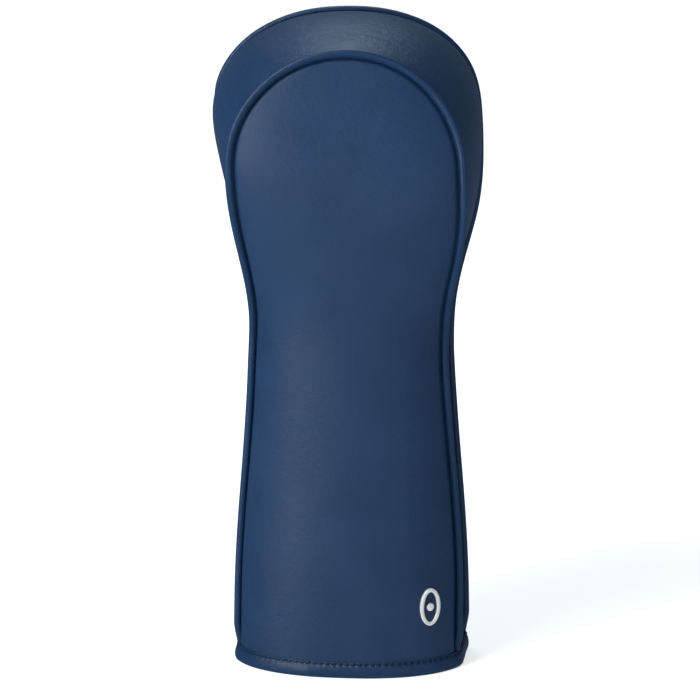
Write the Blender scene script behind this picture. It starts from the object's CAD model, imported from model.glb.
"""Looks of a navy leather driver headcover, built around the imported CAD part.

The shell's shape comes from the same formulas as the CAD: a "lens" whose two faces are the
panels, and an "arch" whose rim is the gusset.  Formulas work in millimetres and the meshes are
written in metres.  Every visible piece is a closed mesh of its own.
"""
import math

import bpy
import numpy as np
from mathutils import Matrix, Vector


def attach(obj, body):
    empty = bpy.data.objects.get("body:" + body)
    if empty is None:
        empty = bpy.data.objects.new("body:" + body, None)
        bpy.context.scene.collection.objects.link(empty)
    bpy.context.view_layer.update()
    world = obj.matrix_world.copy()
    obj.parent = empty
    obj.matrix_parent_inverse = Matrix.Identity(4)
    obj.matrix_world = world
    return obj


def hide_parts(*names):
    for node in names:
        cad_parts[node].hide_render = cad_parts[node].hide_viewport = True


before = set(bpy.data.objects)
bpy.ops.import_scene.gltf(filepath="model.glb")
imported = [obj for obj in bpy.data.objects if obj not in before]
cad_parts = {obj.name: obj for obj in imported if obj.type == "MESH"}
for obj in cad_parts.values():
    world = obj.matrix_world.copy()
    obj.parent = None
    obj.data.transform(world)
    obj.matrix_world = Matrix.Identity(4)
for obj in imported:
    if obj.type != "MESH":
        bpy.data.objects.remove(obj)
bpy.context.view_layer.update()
MM = 0.001
RNG = np.random.default_rng(7)

# ---------------------------------------------------------------- shape, in millimetres
LEATHER = 1.2
FOAM = 3.0
LINING = 1.8
INNER_FACE = LEATHER + FOAM + LINING

# The rims are (height, half-width) keys, the height of the crown and the roundness of the arch.
FRONT_SEAM_Y, BACK_SEAM_Y = -42.0, 46.0
BELOW = 12.0
SIDE_SHARE = 0.6
FRONT_RIM = ([(0, 56.6), (30, 56.2), (168, 47.8), (254, 56.8)], 309.0, 2.0)
MIDDLE_RIM = ([(0, 56.6), (30, 56.2), (175, 47.8), (272, 66.2)], 321.5, 2.1)
BACK_RIM = ([(0, 56.6), (30, 56.2), (172, 48.0), (274, 64.2)], 323.0, 2.2)

# The lens is keyed by height too: half-width, depth of each face and roundness of the section.
LENS_WIDTHS = [(0, 59.6), (165, 52.6), (262, 77.0)]
FRONT_DEPTHS = [(0, 44.0), (160, 41.0), (250, 51.0), (335, 37.0)]
BACK_DEPTHS = [(0, 44.0), (160, 41.5), (252, 54.0), (340, 41.0)]
LENS_ROUND = [(0, 2.3), (165, 2.0), (258, 3.0)]

# How the photographed cover stands askew: degrees of turn and millimetres of shift, by height.
TWIST_KEYS = [(0, -3.5), (110, -2.5), (215, -2.0), (290, 3.0)]
SWAY_KEYS = [(0, 0.2), (150, 0.8), (218, 3.6), (285, -1.2), (322, -0.6)]

# The layers start this high, inside the folded binding.
LAYER_FOOT_Z = 1.5
# The foam is cut back from the seams: by a share of the way to the panel's middle, and by a
# share of the gusset's width.
PANEL_MARGIN = 0.07
GUSSET_MARGIN = 0.04
# How strongly the leather tucks in beside the piping.
PANEL_GROOVE = 2.5
GUSSET_FRONT_GROOVE = 2.2
GUSSET_BACK_GROOVE = 2.8
# Puckers at the neck: length of one radian of their wave, and depth.
BACK_PUCKERS = (1.35, 1.5)
GUSSET_PUCKERS = (1.2, 1.1)

PIPING_R = 1.9
CORD_R = 1.1
CORD_SLACK = 0.05
PIPING_WOBBLE = 0.012
# The ends of the piping lean inward over this range, to finish under the binding.
PIPING_END_Z = 5.0
PIPING_TUCK_TOP = 20.0
PIPING_TUCK = 2.2
PIPING_TUCK_Y_SHARE = 0.25

HEM_LOOP_Z = 3.5
STITCH_Z = 7.0
STITCH_COUNT = 104
STITCH_L = 2.4
STITCH_R = 0.4
STITCH_LIFT = 0.58

# The elastic lies in its casing, behind the lining, round the back and sides of the neck.
NECK_Z = 174.0
ELASTIC_FACES = (INNER_FACE + 0.8, INNER_FACE + 2.0)
ELASTIC_SPAN = (NECK_Z - 10.0, NECK_Z + 10.0)
ELASTIC_FRONT_Y = -9.0
CASING_FACES = (INNER_FACE + 0.05, INNER_FACE + 2.8)
CASING_SPAN = (NECK_Z - 13.0, NECK_Z + 13.0)
CASING_FRONT_Y = -12.0
CASING_RIPPLE = 0.25

EMBLEM_X, EMBLEM_Z = 43.0, 34.5
EMBLEM_W, EMBLEM_H, EMBLEM_BAR, EMBLEM_DOT_D = 11.4, 19.0, 1.9, 4.0

MIRROR = np.array([-1.0, 1.0, 1.0])

# Mesh resolution.  A panel's columns crowd toward its seam by a power, and the rows of its crown
# end in the middle, within a height above the shoulder.
ROWS = 190
PANEL_COLUMNS = 40
PANEL_CROWDING = 1.7
CROWN_HEIGHT = 30.0
GUSSET_COLUMNS = 44
PIPING_ROWS = 230
SEAM_GUESS_Y = 30.0
SEAM_STEPS = 60
LOOP_SWEEP = 161
LOOP_FINE = 1200
LOOP_CORNER = 26
STEPS_PER_STITCH = 6
NECK_STEPS = 900
NECK_ROWS = 17
NECK_COLUMNS = 260


def ease(keys, z):
    """Value at each z, easing smoothly from each key to the next."""
    z = np.asarray(z, float)
    out = np.full(z.shape, float(keys[0][1]))
    for (z0, v0), (z1, v1) in zip(keys, keys[1:]):
        t = np.clip((z - z0) / (z1 - z0), 0, 1)
        out = out + (v1 - v0) * t * t * (3 - 2 * t)
    return out


def smooth(low, high, value):
    """0 below low, 1 above high, easing between."""
    t = np.clip((value - low) / (high - low), 0, 1)
    return t * t * (3 - 2 * t)


def rim_point(rim, inset, s):
    """x and z on the right half of one outline; s runs 0 at the bottom to 1 at the crown."""
    widths, top, power = rim
    shoulder = widths[-1][0]
    z = -BELOW + (shoulder + BELOW) * np.minimum(s, SIDE_SHARE) / SIDE_SHARE
    angle = np.clip((s - SIDE_SHARE) / (1 - SIDE_SHARE), 0, 1) * math.pi / 2
    x = (ease(widths, z) - inset) * np.abs(np.cos(angle)) ** (2 / power)
    z = z + (top - inset - shoulder) * np.sin(angle) ** (2 / power)
    return np.where(s >= 1, 0.0, x), z


def arch_point(y, inset, s):
    """x and z of the rim at depth y, by a parabola through the three outlines."""
    half_span = (BACK_SEAM_Y - FRONT_SEAM_Y) / 2
    t = (y - FRONT_SEAM_Y) / half_span - 1
    rims = [rim_point(rim, inset, s) for rim in (FRONT_RIM, MIDDLE_RIM, BACK_RIM)]
    return [m + (b - f) / 2 * t + ((f + b) / 2 - m) * t * t for f, m, b in zip(*rims)]


def lens_depth(x, z, side, inset=0.0):
    """Depth y of a panel's face at (x, z); side is -1 for the front and 1 for the back."""
    a = ease(LENS_WIDTHS, z) - inset
    depth = ease(FRONT_DEPTHS if side < 0 else BACK_DEPTHS, z) - inset
    power = ease(LENS_ROUND, z)
    rest = np.clip(1 - (np.abs(x) / a) ** power, 0, None)
    return side * depth * rest ** (1 / power)


def seam(side, shares, inset=0.0):
    """Points where the panel's face meets the rim, one per share."""
    y = np.full(np.shape(shares), side * SEAM_GUESS_Y)
    for _ in range(SEAM_STEPS):
        x, z = arch_point(y, inset, shares)
        y = (y + lens_depth(x, z, side, inset)) / 2
    return np.stack([x, y, z], -1)


def share_at(side, height):
    """Share at which the seam reaches a height below the shoulder."""
    shares = np.linspace(0, 0.5, 400)
    return float(np.interp(height, seam(side, shares)[:, 2], shares))


def lean(p):
    """The soft cover stands a little askew: it sways sideways and turns along its height."""
    p = np.array(p, float)
    x, y = p[..., 0] + ease(SWAY_KEYS, p[..., 2]), p[..., 1].copy()
    turn = np.radians(ease(TWIST_KEYS, p[..., 2]))
    p[..., 0] = x * np.cos(turn) - y * np.sin(turn)
    p[..., 1] = x * np.sin(turn) + y * np.cos(turn)
    return p


# ---------------------------------------------------------------- mesh helpers
def new_object(name, points, faces):
    """Smooth-shaded object from points in millimetres, which it leans with the cover."""
    mesh = bpy.data.meshes.new(name)
    mesh.from_pydata((lean(points) * MM).tolist(), [], [list(map(int, f)) for f in faces])
    mesh.validate()
    mesh.update()
    obj = bpy.data.objects.new(name, mesh)
    bpy.context.scene.collection.objects.link(obj)
    mesh.polygons.foreach_set("use_smooth", [True] * len(mesh.polygons))
    return obj


def closed_shell(name, outer, inner, faces):
    """Closed mesh between two sheets of the same faces; the faces look outward on outer."""
    count = len(outer)
    edges = dict.fromkeys(edge for face in faces for edge in zip(face, face[1:] + face[:1]))
    border = [(a, b) for (a, b) in edges if (b, a) not in edges]
    shell = [list(face) for face in faces]
    shell += [[v + count for v in reversed(face)] for face in faces]
    shell += [[b, a, a + count, b + count] for a, b in border]
    return new_object(name, np.concatenate([outer, inner]), shell)


def grid_faces(rows, columns, wrap=False):
    """Quads of a grid of points; wrap joins its last column to its first."""
    faces = []
    for i in range(rows - 1):
        for j in range(columns if wrap else columns - 1):
            k = (j + 1) % columns
            faces.append([i * columns + j, i * columns + k, (i + 1) * columns + k, (i + 1) * columns + j])
    return faces


def rod_faces(rings, sides):
    """Quads along a run of rings, and a cap at each end."""
    last = (rings - 1) * sides
    caps = [list(range(sides))[::-1], list(range(last, last + sides))]
    return grid_faces(rings, sides, wrap=True) + caps


def hoop_faces(sections, sides):
    """Quads of a section of so many sides, carried round a closed path."""
    faces = []
    for i in range(sections):
        k = (i + 1) % sections
        for j in range(sides):
            m = (j + 1) % sides
            faces.append([i * sides + m, k * sides + m, k * sides + j, i * sides + j])
    return faces


def vertex_normals(points, faces):
    """Area-weighted normals of a sheet of quads."""
    normals = np.zeros_like(points)
    quads = np.array(faces)
    corners = [points[quads[:, k]] for k in range(4)]
    across = np.cross(corners[2] - corners[0], corners[3] - corners[1])
    for k in range(4):
        np.add.at(normals, quads[:, k], across)
    return normals / np.maximum(np.linalg.norm(normals, axis=1, keepdims=True), 1e-9)


def tube(name, path, radius, sides, hollow=None, wobble=0.0):
    """Closed tube along points; hollow is its inner radius, wobble a slow change of its outer one."""
    tangent = np.gradient(path, axis=0)
    tangent /= np.linalg.norm(tangent, axis=1, keepdims=True)
    normal = np.cross(tangent, [0.0, 1.0, 0.0])
    normal /= np.linalg.norm(normal, axis=1, keepdims=True)
    binormal = np.cross(tangent, normal)
    angle = np.linspace(0, 2 * math.pi, sides, endpoint=False)
    ring = np.cos(angle)[:, None, None] * normal + np.sin(angle)[:, None, None] * binormal
    ring = np.swapaxes(ring, 0, 1)
    steps = np.arange(len(path))
    swell = 1 + wobble * (np.sin(steps * 0.21) + 0.6 * np.sin(steps * 0.083 + 1.3))
    outer = (path[:, None, :] + ring * (radius * swell)[:, None, None]).reshape(-1, 3)
    if hollow:
        inner = (path[:, None, :] + ring * hollow).reshape(-1, 3)
        return closed_shell(name, outer, inner, grid_faces(len(path), sides, wrap=True))
    return new_object(name, outer, rod_faces(len(path), sides))


# ---------------------------------------------------------------- layers of the shell
def value_noise(p, pitch, seed):
    """Smooth noise from -1 to 1 with features of about pitch millimetres."""
    rng = np.random.default_rng(seed)
    total = np.zeros(p.shape[:-1])
    for _ in range(6):
        direction = rng.normal(size=3)
        direction /= np.linalg.norm(direction)
        total += np.sin(p @ direction * 2 * math.pi / pitch + rng.uniform(0, 6.28))
    return total / 6


def seam_dip(distance, groove):
    """How far the leather tucks in near a seam: a groove beside the piping, on a slower roll."""
    beside = 0.5 * np.exp(-((distance - 2.0) / 1.2) ** 2)
    roll = 0.42 * np.exp(-distance / 9.5)
    return groove * (beside + roll)


def gathers(p, turn, strength):
    """Inward depth of the puckers that the neck elastic pulls into the leather."""
    height = p[..., 2] - NECK_Z - 2.0 * np.sin(turn * 0.9)
    reach = np.exp(-(height / 15.0) ** 2) + 0.35 * np.exp(-(height / 34.0) ** 2)
    wave = np.sin(turn) + 0.45 * np.sin(1.73 * turn + 0.8) + 0.3 * np.sin(0.61 * turn + 2.1)
    fold = 0.5 + 0.5 * np.clip(wave / 1.3, -1, 1)
    return strength * reach * (fold ** 1.5)


def mirrored_faces(rows, columns, flip):
    """Quads of a right half and its mirror image, which share the last column and the last row."""
    right = np.arange(rows * columns).reshape(rows, columns)
    left = right + rows * columns
    left[:, -1] = right[:, -1]
    left[-1, :] = right[-1, :]
    faces = []
    for i in range(rows - 1):
        for j in range(columns - 1):
            right_quad = [right[i, j], right[i + 1, j], right[i + 1, j + 1], right[i, j + 1]]
            left_quad = [left[i, j], left[i, j + 1], left[i + 1, j + 1], left[i + 1, j]]
            faces += [quad[::-1] if flip else quad for quad in (right_quad, left_quad)]
    return faces


def panel_sheet(side, inset, soft, margin):
    """Points and outward faces of one panel's layer; soft adds the tucks and puckers.

    Each row runs level from the seam to the middle, and over the crown it dips toward the middle.
    The margin is the share of the way to the middle at which the layer is trimmed.
    """
    start = share_at(side, LAYER_FOOT_Z)
    shares = start + (1 - start) * np.linspace(0, 1, ROWS)
    across = margin + (1 - margin) * np.linspace(0, 1, PANEL_COLUMNS) ** PANEL_CROWDING
    edge = seam(side, shares, inset)
    rim = FRONT_RIM if side < 0 else BACK_RIM
    shoulder = rim[0][-1][0]
    angle = np.clip((shares - SIDE_SHARE) / (1 - SIDE_SHARE), 0, 1) * math.pi / 2
    level = np.minimum(edge[:, 2], shoulder) + CROWN_HEIGHT * np.sin(angle)
    level = np.minimum(level, edge[:, 2])
    x = edge[:, None, 0] * (1 - across)
    z = edge[:, None, 2] + (level - edge[:, 2])[:, None] * across
    y = lens_depth(x, z, side, inset)
    half = np.stack([x, y, z], -1)
    gap = np.linalg.norm(half - edge[:, None], axis=-1)

    faces = mirrored_faces(ROWS, PANEL_COLUMNS, flip=side > 0)
    points = np.concatenate([half.reshape(-1, 3), (half * MIRROR).reshape(-1, 3)])
    distance = np.concatenate([gap.ravel(), gap.ravel()])
    used = sorted({v for face in faces for v in face})
    renumber = {old: new for new, old in enumerate(used)}
    faces = [[renumber[v] for v in face] for face in faces]
    points, distance = points[used], distance[used]
    if soft:
        points = soften(points, faces, distance, side, PANEL_GROOVE)
    return points, faces


def soften(points, faces, distance, side, groove):
    """Tucks in the seams, puckers at the elastic, and the unevenness of hand-sewn leather.

    The side is -1 for the front panel, which has no puckers, 1 for the back and 0 for the gusset.
    """
    normals = vertex_normals(points, faces)
    inward = seam_dip(distance, groove)
    if side > 0:
        radian, strength = BACK_PUCKERS
        inward = inward + gathers(points, points[..., 0] / radian, strength)
    if side == 0:
        radian, strength = GUSSET_PUCKERS
        inward = inward + gathers(points, points[..., 1] / radian, strength) * smooth(2, 9, distance)
    calm = smooth(4, 22, distance) * smooth(8, 40, points[..., 2])
    uneven = 0.45 * value_noise(points, 92.0, 3) + 0.16 * value_noise(points, 37.0, 5)
    inward = inward + calm * uneven
    return points - normals * inward[:, None]


def both_sides(run):
    """A run from the right hem to the crown, carried on down the left side."""
    return np.concatenate([run, run[-2::-1] * MIRROR])


def gusset_sheet(inset, soft, margin):
    """Points and outward faces of the gusset's layer, from hem over the crown to hem."""
    start = max(share_at(-1, LAYER_FOOT_Z), share_at(1, LAYER_FOOT_Z))
    shares = start + (1 - start) * np.linspace(0, 1, ROWS)
    front = seam(-1, shares, inset)
    back = seam(1, shares, inset)
    across = 0.5 - (0.5 - margin) * np.cos(np.linspace(0, 1, GUSSET_COLUMNS) * math.pi)
    y = front[:, None, 1] + (back - front)[:, None, 1] * across
    x, z = arch_point(y, inset, np.repeat(shares[:, None], GUSSET_COLUMNS, 1))
    half = np.stack([x, y, z], -1)
    strip, front, back = [both_sides(part) for part in (half, front, back)]
    to_front = np.linalg.norm(strip - front[:, None], axis=-1)
    to_back = np.linalg.norm(strip - back[:, None], axis=-1)
    groove = np.where(to_front < to_back, GUSSET_FRONT_GROOVE, GUSSET_BACK_GROOVE)
    faces = grid_faces(len(strip), GUSSET_COLUMNS)
    points = strip.reshape(-1, 3)
    if soft:
        points = soften(points, faces, np.minimum(to_front, to_back).ravel(), 0, groove.ravel())
    return points, faces


def sheet_of(which, inset, soft, trimmed):
    """Sheet of the front panel, the back panel or the gusset."""
    if which == "gusset":
        return gusset_sheet(inset, soft, GUSSET_MARGIN if trimmed else 0.0)
    return panel_sheet(-1 if which == "front" else 1, inset, soft, PANEL_MARGIN if trimmed else 0.0)


def layer(name, which, outer_inset, thickness, soft_outer, soft_inner, trimmed=False):
    """One closed layer; a trimmed one is cut back from the seams."""
    outer, faces = sheet_of(which, outer_inset, soft_outer, trimmed)
    inner, _ = sheet_of(which, outer_inset + thickness, soft_inner, trimmed)
    return closed_shell(name, outer, inner, faces)


# ---------------------------------------------------------------- piping
def piping_path(side):
    """Centre line of a seam's piping, its two ends tucked inward under the binding."""
    start = share_at(side, PIPING_END_Z)
    shares = start + (1 - start) * np.linspace(0, 1, PIPING_ROWS)
    right = seam(side, shares)
    tuck = PIPING_TUCK * (1 - smooth(PIPING_END_Z, PIPING_TUCK_TOP, right[:, 2]))
    right[:, :2] -= tuck[:, None] * np.array([1.0, PIPING_TUCK_Y_SHARE * side])
    return both_sides(right)


# ---------------------------------------------------------------- hem
def loop_at(inset, z, count):
    """Points round the shell at one height, the four corners rounded, and their outward normals."""
    corners = {side: seam(side, np.array([share_at(side, z)]))[0, 0] - inset for side in (-1, 1)}
    sweep = np.sin(np.linspace(-math.pi / 2, math.pi / 2, LOOP_SWEEP))
    front_x = corners[-1] * sweep
    back_x = corners[1] * sweep[::-1]
    height = np.full(LOOP_SWEEP, z)
    ring = np.concatenate([
        np.stack([front_x, lens_depth(front_x, height, -1, inset)], -1),
        np.stack([back_x, lens_depth(back_x, height, 1, inset)], -1)])
    closed = np.concatenate([ring, ring[:1]])
    lengths = np.concatenate([[0], np.cumsum(np.linalg.norm(np.diff(closed, axis=0), axis=1))])
    at = np.linspace(0, lengths[-1], LOOP_FINE, endpoint=False)
    loop = np.stack([np.interp(at, lengths, closed[:, k]) for k in (0, 1)], -1)
    kernel = np.hanning(2 * LOOP_CORNER + 1)
    kernel /= kernel.sum()
    padded = np.concatenate([loop[-LOOP_CORNER:], loop, loop[:LOOP_CORNER]])
    loop = np.stack([np.convolve(padded[:, k], kernel, "valid") for k in (0, 1)], -1)
    loop = loop[(np.arange(count) * LOOP_FINE / count).astype(int)]
    ahead = np.roll(loop, -1, axis=0) - np.roll(loop, 1, axis=0)
    ahead /= np.linalg.norm(ahead, axis=1, keepdims=True)
    return loop, np.stack([ahead[:, 1], -ahead[:, 0]], -1)


def hem_binding():
    """Leather folded under the edge: a U-shaped section carried round the hem.

    The section's points are (outward, up).  Its outer leg dips at the holes between stitches.
    """
    count = STITCH_COUNT * STEPS_PER_STITCH
    loop, normal = loop_at(0.0, HEM_LOOP_Z, count)
    depth = INNER_FACE
    section = [
        (-0.9, 6.6), (-0.75, 7.5), (-0.35, 7.95), (0.15, 8.0), (0.5, 7.8), (0.62, 7.5),
        (0.48, 7.2), (0.4, 7.0), (0.55, 6.7), (0.95, 6.2), (1.25, 5.3), (1.5, 4.0),
        (1.65, 2.6), (1.6, 1.4), (1.35, 0.6), (0.9, 0.15), (0.3, 0.0), (-1.5, 0.0), (-4.0, 0.0),
        (-depth - 0.4, 0.05), (-depth - 0.9, 0.45), (-depth - 1.05, 1.2), (-depth - 1.0, 3.0),
        (-depth - 0.95, 7.1), (-depth - 0.7, 7.7), (-depth - 0.3, 7.7), (-depth - 0.05, 7.1),
        (-depth, 1.3), (-depth + 0.3, 1.05), (-0.9, 1.05), (-0.9, 1.5)]
    at = np.arange(count)
    pull = 0.5 + 0.5 * np.cos(2 * math.pi * (at / STEPS_PER_STITCH))
    uneven = 0.2 * np.sin(at * 0.083) + 0.12 * np.sin(at * 0.21 + 1)
    points = []
    for n, z in section:
        near_row = math.exp(-((z - STITCH_Z) / 0.9) ** 2) if n > 0.2 else 0.0
        body = math.exp(-((z - 3.0) / 2.2) ** 2) if n > 0.2 else 0.0
        out = n - 0.5 * near_row * pull + body * uneven
        points.append(np.column_stack([loop + normal * out[:, None], np.full(count, z)]))
    points = np.swapaxes(np.array(points), 0, 1).reshape(-1, 3)
    return new_object("hem_binding_leather", points, hoop_faces(count, len(section)))


def hem_stitches():
    """One short raised stitch of bonded thread between each two holes of the row."""
    loop, normal = loop_at(0.0, HEM_LOOP_Z, STITCH_COUNT * STEPS_PER_STITCH)
    points, faces = [], []
    sides = 8
    stations = np.linspace(-1, 1, 9)
    for i in range(STITCH_COUNT):
        step = i * STEPS_PER_STITCH + STEPS_PER_STITCH // 2
        out = normal[step]
        along = np.array([-out[1], out[0]])
        tilt = 0.10 + 0.05 * RNG.normal()
        lift = STITCH_LIFT + 0.03 * RNG.normal()
        base = len(points)
        for u in stations:
            thick = STITCH_R * math.sqrt(max(0.02, 1 - abs(u) ** 4))
            sink = 0.32 * u ** 4
            middle = loop[step] + along * u * STITCH_L / 2 + out * (lift - sink)
            for k in range(sides):
                turn = 2 * math.pi * k / sides
                offset = math.cos(turn) * thick * 0.85
                rise = math.sin(turn) * thick + tilt * u * STITCH_L / 2
                points.append([*(middle + out * offset), STITCH_Z + rise])
        rod = rod_faces(len(stations), sides)
        faces += [[base + v for v in reversed(face)] for face in rod]
    return new_object("hem_stitch_row", points, faces)


# ---------------------------------------------------------------- neck elastic
def neck_band(name, faces_at, span, front_y, ripple):
    """Band round the neck behind front_y, between two insets from the outside of the shell."""
    sheets = []
    for inset in faces_at:
        grid = np.zeros((NECK_ROWS, NECK_COLUMNS, 3))
        for r, z in enumerate(np.linspace(*span, NECK_ROWS)):
            loop, normal = loop_at(inset, z, NECK_STEPS)
            behind = loop[:, 1] > front_y
            first = np.argmax(behind & ~np.roll(behind, 1))
            picks = np.linspace(0, behind.sum() - 1, NECK_COLUMNS).astype(int)
            pick = (first + picks) % NECK_STEPS
            fold = ripple * np.sin(np.arange(NECK_COLUMNS) * 0.55 + 0.4 * math.sin(r))
            edge = 1 - 0.6 * (abs(2 * r / (NECK_ROWS - 1) - 1) ** 6)
            p = loop[pick] - normal[pick] * (fold * edge)[:, None]
            grid[r] = np.column_stack([p, np.full(NECK_COLUMNS, z)])
        sheets.append(grid.reshape(-1, 3))
    return closed_shell(name, *sheets, grid_faces(NECK_ROWS, NECK_COLUMNS))


# ---------------------------------------------------------------- emblem
def emblem_frame():
    """Matrix of the emblem's place: X across, Y up the panel, Z out of the leather."""
    def at(x, z):
        return Vector((x, float(lens_depth(np.array(x), np.array(z), -1)), z))
    reach = 4.0
    across = (at(EMBLEM_X + reach, EMBLEM_Z) - at(EMBLEM_X - reach, EMBLEM_Z)).normalized()
    up = Vector((0, 0, 1))
    out = across.cross(up).normalized()
    basis = Matrix((across, up, out)).transposed().to_4x4()
    basis.translation = at(EMBLEM_X, EMBLEM_Z)
    return basis


def emblem_ring():
    """Oval ring with a softly crowned face."""
    basis = emblem_frame()
    count = 96
    section = [(-0.5, -0.5), (-0.5, 0.45), (-0.44, 0.7), (-0.28, 0.86), (0, 0.94),
               (0.28, 0.86), (0.44, 0.7), (0.5, 0.45), (0.5, -0.5)]
    points = []
    for i in range(count):
        turn = 2 * math.pi * i / count
        a, b = EMBLEM_W / 2 - EMBLEM_BAR / 2, EMBLEM_H / 2 - EMBLEM_BAR / 2
        centre = Vector((a * math.cos(turn), b * math.sin(turn), 0))
        out = Vector((b * math.cos(turn), a * math.sin(turn), 0)).normalized()
        for n, h in section:
            points.append(basis @ (centre + out * n * EMBLEM_BAR + Vector((0, 0, h))))
    return new_object("emblem_oval", [tuple(p) for p in points], hoop_faces(count, len(section)))


def emblem_dot():
    """Small round stud in the middle of the oval."""
    basis = emblem_frame()
    profile = [(1.0, -0.5), (1.0, 0.4), (0.95, 0.62), (0.82, 0.8), (0.55, 0.93), (0.25, 0.99)]
    sides = 40
    points = []
    for share, h in profile:
        for k in range(sides):
            turn = 2 * math.pi * k / sides
            r = share * EMBLEM_DOT_D / 2
            points.append(tuple(basis @ Vector((r * math.cos(turn), r * math.sin(turn), h))))
    return new_object("emblem_stud", points, rod_faces(len(profile), sides))


# ---------------------------------------------------------------- materials
NAVY_DARK = (0.0058, 0.0300, 0.0830)
NAVY_LIGHT = (0.0080, 0.0360, 0.0960)
TRIM_DARK = (0.0055, 0.0285, 0.0790)
TRIM_LIGHT = (0.0080, 0.0350, 0.0930)
FOAM_DARK = (0.30, 0.31, 0.33)
FOAM_LIGHT = (0.56, 0.57, 0.59)
THREAD_DARK = (0.0030, 0.0080, 0.022)
THREAD_LIGHT = (0.008, 0.018, 0.044)


def material(name):
    """New material and its shader node."""
    m = bpy.data.materials.new(name)
    m.use_nodes = True
    nodes = m.node_tree.nodes
    nodes.clear()
    out = nodes.new("ShaderNodeOutputMaterial")
    shader = nodes.new("ShaderNodeBsdfPrincipled")
    m.node_tree.links.new(shader.outputs[0], out.inputs[0])
    return m, shader


def noise(tree, vector, scale, detail=3.0, rough=0.5):
    """Noise from 0 to 1, with about scale features to the metre."""
    n = tree.nodes.new("ShaderNodeTexNoise")
    n.inputs["Scale"].default_value = scale
    n.inputs["Detail"].default_value = detail
    n.inputs["Roughness"].default_value = rough
    tree.links.new(vector, n.inputs["Vector"])
    return n.outputs["Fac"]


def ramp(tree, fac, low, high, first, second):
    """Colour that goes from first to second as fac goes from low to high."""
    r = tree.nodes.new("ShaderNodeValToRGB")
    r.color_ramp.elements[0].position = low
    r.color_ramp.elements[1].position = high
    r.color_ramp.elements[0].color = (*first, 1)
    r.color_ramp.elements[1].color = (*second, 1)
    tree.links.new(fac, r.inputs[0])
    return r.outputs[0]


def to_range(tree, fac, low, high, out_low, out_high):
    """Value that goes from out_low to out_high as fac goes from low to high."""
    r = tree.nodes.new("ShaderNodeMapRange")
    r.inputs["From Min"].default_value = low
    r.inputs["From Max"].default_value = high
    r.inputs["To Min"].default_value = out_low
    r.inputs["To Max"].default_value = out_high
    tree.links.new(fac, r.inputs["Value"])
    return r.outputs[0]


def bump(tree, height, strength, distance, normal=None):
    """Surface normal bumped by height, on top of another normal if given."""
    b = tree.nodes.new("ShaderNodeBump")
    b.inputs["Strength"].default_value = strength
    b.inputs["Distance"].default_value = distance
    tree.links.new(height, b.inputs["Height"])
    if normal is not None:
        tree.links.new(normal, b.inputs["Normal"])
    return b.outputs[0]


def coordinates(tree):
    return tree.nodes.new("ShaderNodeTexCoord").outputs["Object"]


def leather(name, dark, light, roughness=0.47, grain=1.0, crease=1.0):
    """Smooth aniline-finished hide: pebbled pores, hairline creases, faint blotches of dye."""
    m, shader = material(name)
    tree = m.node_tree
    where = coordinates(tree)
    blotch = noise(tree, where, 28.0, 4.0)
    tree.links.new(ramp(tree, blotch, 0.32, 0.70, dark, light), shader.inputs["Base Color"])
    pores = tree.nodes.new("ShaderNodeTexVoronoi")
    pores.feature = "DISTANCE_TO_EDGE"
    pores.inputs["Scale"].default_value = 1150.0
    warp = tree.nodes.new("ShaderNodeTexNoise")
    warp.inputs["Scale"].default_value = 420.0
    tree.links.new(where, warp.inputs["Vector"])
    mixed = tree.nodes.new("ShaderNodeVectorMath")
    mixed.operation = "MULTIPLY_ADD"
    mixed.inputs[1].default_value = (0.0012, 0.0012, 0.0012)
    tree.links.new(warp.outputs["Color"], mixed.inputs[0])
    tree.links.new(where, mixed.inputs[2])
    tree.links.new(mixed.outputs[0], pores.inputs["Vector"])
    cells = to_range(tree, pores.outputs["Distance"], 0.0, 0.16, 0.0, 1.0)
    fine = bump(tree, cells, 0.30 * grain, 0.00014)
    wrinkle = noise(tree, where, 240.0, 6.0, 0.62)
    wavy = bump(tree, wrinkle, 0.52 * crease, 0.0006, fine)
    broad = noise(tree, where, 46.0, 3.0)
    tree.links.new(bump(tree, broad, 0.30 * crease, 0.0012, wavy), shader.inputs["Normal"])
    worn = noise(tree, where, 70.0, 5.0)
    rough = to_range(tree, worn, 0.3, 0.7, roughness - 0.045, roughness + 0.05)
    tree.links.new(rough, shader.inputs["Roughness"])
    shader.inputs["Specular IOR Level"].default_value = 0.38
    shader.inputs["Sheen Weight"].default_value = 0.02
    shader.inputs["Sheen Roughness"].default_value = 0.5
    shader.inputs["Sheen Tint"].default_value = (0.55, 0.65, 0.85, 1)
    return m


def plush(name, dark, light):
    """Short dense pile that lies in patches."""
    m, shader = material(name)
    tree = m.node_tree
    where = coordinates(tree)
    nap = noise(tree, where, 320.0, 5.0, 0.7)
    patch = noise(tree, where, 60.0, 3.0)
    both = tree.nodes.new("ShaderNodeMath")
    both.operation = "MULTIPLY_ADD"
    both.inputs[1].default_value = 0.6
    tree.links.new(nap, both.inputs[0])
    tree.links.new(to_range(tree, patch, 0.3, 0.7, 0.0, 0.4), both.inputs[2])
    tree.links.new(ramp(tree, both.outputs[0], 0.25, 0.75, dark, light), shader.inputs["Base Color"])
    tufts = noise(tree, where, 1400.0, 2.0)
    tree.links.new(bump(tree, tufts, 0.7, 0.0006, bump(tree, nap, 0.6, 0.0012)), shader.inputs["Normal"])
    shader.inputs["Roughness"].default_value = 0.95
    shader.inputs["Sheen Weight"].default_value = 0.5
    shader.inputs["Sheen Roughness"].default_value = 0.4
    return m


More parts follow.
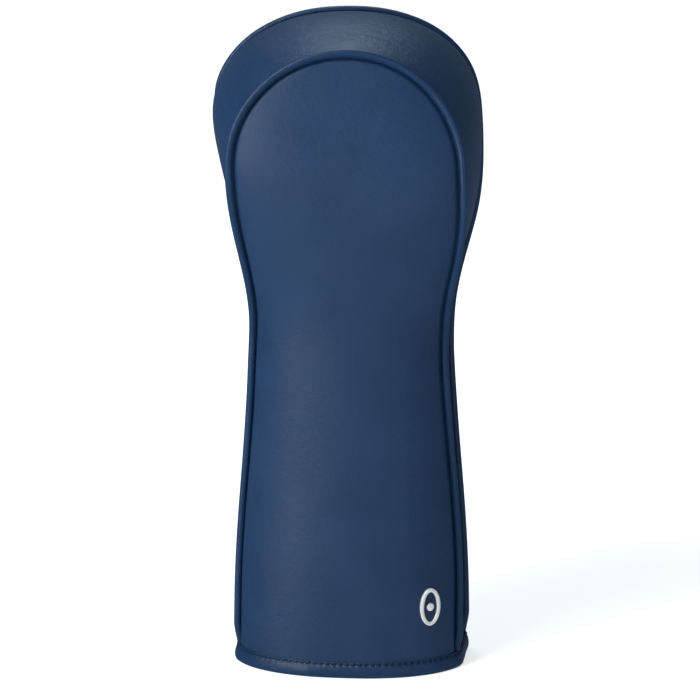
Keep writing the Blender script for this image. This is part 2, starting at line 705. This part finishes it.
def woven(name, dark, light, fineness, stretch=(1.0, 1.0, 1.0)):
    """Cloth of crossed threads, closer together for a larger fineness."""
    m, shader = material(name)
    tree = m.node_tree
    scale = tree.nodes.new("ShaderNodeMapping")
    scale.inputs["Scale"].default_value = stretch
    tree.links.new(coordinates(tree), scale.inputs["Vector"])
    waves = []
    for direction in ("X", "Z"):
        wave = tree.nodes.new("ShaderNodeTexWave")
        wave.bands_direction = direction
        wave.inputs["Scale"].default_value = fineness / 20
        wave.inputs["Distortion"].default_value = 1.2
        tree.links.new(scale.outputs[0], wave.inputs["Vector"])
        waves.append(wave.outputs["Fac"])
    weave = tree.nodes.new("ShaderNodeMath")
    weave.operation = "MAXIMUM"
    tree.links.new(waves[0], weave.inputs[0])
    tree.links.new(waves[1], weave.inputs[1])
    tree.links.new(ramp(tree, weave.outputs[0], 0.1, 0.9, dark, light), shader.inputs["Base Color"])
    tree.links.new(bump(tree, weave.outputs[0], 0.5, 0.0003), shader.inputs["Normal"])
    shader.inputs["Roughness"].default_value = 0.75
    shader.inputs["Sheen Weight"].default_value = 0.2
    return m


def foam_material():
    """Open-cell padding with pinhole pores."""
    m, shader = material("foam_cells")
    tree = m.node_tree
    cells = tree.nodes.new("ShaderNodeTexVoronoi")
    cells.inputs["Scale"].default_value = 1500.0
    tree.links.new(coordinates(tree), cells.inputs["Vector"])
    depth = cells.outputs["Distance"]
    tree.links.new(ramp(tree, depth, 0.1, 0.6, FOAM_DARK, FOAM_LIGHT), shader.inputs["Base Color"])
    tree.links.new(bump(tree, depth, 0.6, 0.0004), shader.inputs["Normal"])
    shader.inputs["Roughness"].default_value = 0.9
    return m


def metal(name, colour, roughness, metallic=1.0):
    """Satin plating with a fine brushed haze and soft tarnish."""
    m, shader = material(name)
    tree = m.node_tree
    where = coordinates(tree)
    tarnish = noise(tree, where, 260.0, 4.0)
    darker = tuple(c * 0.86 for c in colour)
    tree.links.new(ramp(tree, tarnish, 0.3, 0.7, darker, colour), shader.inputs["Base Color"])
    haze = noise(tree, where, 2600.0, 2.0)
    rough = to_range(tree, haze, 0.3, 0.7, roughness - 0.05, roughness + 0.06)
    tree.links.new(rough, shader.inputs["Roughness"])
    tree.links.new(bump(tree, haze, 0.08, 0.00005), shader.inputs["Normal"])
    shader.inputs["Metallic"].default_value = metallic
    return m


def thread_material():
    """Bonded thread: a twist along each stitch."""
    m, shader = material("bonded_thread")
    tree = m.node_tree
    twist = tree.nodes.new("ShaderNodeTexWave")
    twist.bands_direction = "DIAGONAL"
    twist.inputs["Scale"].default_value = 620.0
    tree.links.new(coordinates(tree), twist.inputs["Vector"])
    ply = twist.outputs["Fac"]
    tree.links.new(ramp(tree, ply, 0.2, 0.8, THREAD_DARK, THREAD_LIGHT), shader.inputs["Base Color"])
    tree.links.new(bump(tree, ply, 0.5, 0.0001), shader.inputs["Normal"])
    shader.inputs["Roughness"].default_value = 0.5
    return m


PANEL_HIDE = leather("navy_panel_leather", NAVY_DARK, NAVY_LIGHT)
GUSSET_HIDE = leather("navy_gusset_leather", NAVY_DARK, NAVY_LIGHT, roughness=0.43, crease=1.7)
TRIM_HIDE = leather("navy_trim_leather", TRIM_DARK, TRIM_LIGHT, roughness=0.36, grain=0.8, crease=1.2)
PLUSH = plush("black_plush", (0.010, 0.011, 0.016), (0.035, 0.037, 0.046))
FOAM_CELLS = foam_material()
COTTON = woven("cotton_cord", (0.46, 0.43, 0.37), (0.74, 0.71, 0.63), 1600)
ELASTIC_WEAVE = woven("ribbed_elastic", (0.010, 0.010, 0.012), (0.045, 0.045, 0.050), 1100,
                      stretch=(1, 1, 0.4))
TAPE_WEAVE = woven("casing_tape", (0.012, 0.014, 0.020), (0.032, 0.036, 0.048), 1900)
THREAD = thread_material()
SATIN = metal("satin_silver", (0.95, 0.93, 0.92), 0.40, metallic=0.28)
STEEL = metal("washer_steel", (0.50, 0.50, 0.50), 0.38)


def finish_piece(obj, mat, nodes):
    """Material, frame body, CAD stand-in and record slot of one piece."""
    obj.data.materials.clear()
    obj.data.materials.append(mat)
    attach(obj, "root")
    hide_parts(*nodes)


# ---------------------------------------------------------------- pieces
for which, hide in (("front", PANEL_HIDE), ("back", PANEL_HIDE), ("gusset", GUSSET_HIDE)):
    node = "gusset" if which == "gusset" else which + "_panel"
    cover = layer(which + "_leather", which, 0.0, LEATHER, True, True)
    finish_piece(cover, hide, [node])
    foam = layer(which + "_padding", which, LEATHER, FOAM, True, False, trimmed=True)
    finish_piece(foam, FOAM_CELLS, [which + "_foam"])
    lining = layer(which + "_plush", which, LEATHER + FOAM, LINING, False, False)
    finish_piece(lining, PLUSH, [which + "_lining"])

for which, side in (("front", -1), ("back", 1)):
    path = piping_path(side)
    cover = tube(which + "_piping_cover", path, PIPING_R, 20,
                 hollow=CORD_R + CORD_SLACK, wobble=PIPING_WOBBLE)
    finish_piece(cover, TRIM_HIDE, [which + "_piping"])
    core = tube(which + "_piping_core", path, CORD_R, 12)
    finish_piece(core, COTTON, [which + "_piping_cord"])

finish_piece(hem_binding(), TRIM_HIDE, ["hem_binding"])
finish_piece(hem_stitches(), THREAD, ["hem_stitches"])
elastic_band = neck_band("neck_elastic_band", ELASTIC_FACES, ELASTIC_SPAN, ELASTIC_FRONT_Y, 0.0)
finish_piece(elastic_band, ELASTIC_WEAVE, ["neck_elastic"])
casing_band = neck_band("neck_casing", CASING_FACES, CASING_SPAN, CASING_FRONT_Y, CASING_RIPPLE)
finish_piece(casing_band, TAPE_WEAVE, ["elastic_casing"])
finish_piece(emblem_ring(), SATIN, ["emblem_ring"])
finish_piece(emblem_dot(), SATIN, ["emblem_dot"])

# The washers are the only CAD solids that the visual keeps.
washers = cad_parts["emblem_washers"]
washers.data.materials.clear()
washers.data.materials.append(STEEL)

# ---------------------------------------------------------------- stage, lights and camera
LIGHT_TARGET = (0, 0, 0.18)
SKY = (0.74, 0.89, 1.0)

CENTRE_Z = 0.1571
CAMERA_DISTANCE = 1.5
CAMERA_ELEVATION = math.radians(11.5)
CAMERA_AZIMUTH = math.radians(4.0)
CAMERA_ROLL = math.radians(0.4)
VIEW_WIDTH = 0.35
SENSOR_WIDTH = 36.0


def stage_floor():
    """Pale paper sweep: evenly lit far away, with a soft shadow where the cover stands."""
    bpy.ops.mesh.primitive_plane_add(size=16.0)
    floor = bpy.context.object
    floor.name = "floor"
    m, shader = material("pale_paper")
    tree = m.node_tree
    away = tree.nodes.new("ShaderNodeVectorMath")
    away.operation = "LENGTH"
    tree.links.new(coordinates(tree), away.inputs[0])
    glow = to_range(tree, away.outputs["Value"], 0.25, 0.9, 0.66, 1.0)
    tree.links.new(glow, shader.inputs["Emission Strength"])
    shader.inputs["Emission Color"].default_value = (1, 1, 1, 1)
    shader.inputs["Base Color"].default_value = (0.88, 0.88, 0.88, 1)
    shader.inputs["Roughness"].default_value = 0.9
    floor.data.materials.append(m)
    floor.visible_glossy = False


def area_light(name, place, size, power, tall=None, colour=(1, 1, 1)):
    """Rectangular light aimed at the cover; it is square unless tall is given."""
    data = bpy.data.lights.new(name, "AREA")
    data.shape = "RECTANGLE"
    data.size = size
    data.size_y = tall or size
    data.energy = power
    data.color = colour
    obj = bpy.data.objects.new(name, data)
    obj.location = place
    obj.rotation_euler = (Vector(LIGHT_TARGET) - Vector(place)).to_track_quat("-Z", "Y").to_euler()
    bpy.context.scene.collection.objects.link(obj)


def make_camera():
    """Camera aimed at the cover's middle, from a little above it and to its right.

    The view is VIEW_WIDTH wide at the distance of the cover's middle.
    """
    back = Vector((math.sin(CAMERA_AZIMUTH) * math.cos(CAMERA_ELEVATION),
                   -math.cos(CAMERA_AZIMUTH) * math.cos(CAMERA_ELEVATION),
                   math.sin(CAMERA_ELEVATION)))
    data = bpy.data.cameras.new("camera")
    data.sensor_width = SENSOR_WIDTH
    data.lens = SENSOR_WIDTH * CAMERA_DISTANCE / VIEW_WIDTH
    data.clip_start = 0.05
    data.clip_end = 50.0
    camera = bpy.data.objects.new("camera", data)
    turn = back.to_track_quat("Z", "Y").to_matrix().to_4x4()
    spin = Matrix.Rotation(-CAMERA_ROLL, 4, "Z")
    place = Vector((0, 0, CENTRE_Z)) + back * CAMERA_DISTANCE
    camera.matrix_world = Matrix.Translation(place) @ turn @ spin
    bpy.context.scene.collection.objects.link(camera)
    bpy.context.scene.camera = camera


def dim_surroundings():
    """Faint cool light from all round, and colours shown as they are."""
    world = bpy.data.worlds.new("studio")
    world.use_nodes = True
    background = world.node_tree.nodes["Background"]
    background.inputs["Color"].default_value = (0.85, 0.92, 1.0, 1)
    background.inputs["Strength"].default_value = 0.10
    bpy.context.scene.world = world
    bpy.context.scene.view_settings.view_transform = "Standard"


stage_floor()
area_light("key_left", (-1.04, -1.06, 0.50), 0.28, 13.0, tall=1.1)
area_light("high_left", (-0.66, -0.72, 1.34), 0.6, 10.5, colour=SKY)
area_light("fill_right", (0.85, -1.40, 0.35), 0.6, 2.0, tall=1.2)
area_light("top_back", (-0.05, 0.60, 1.35), 0.5, 6.0, colour=SKY)
dim_surroundings()
make_camera()
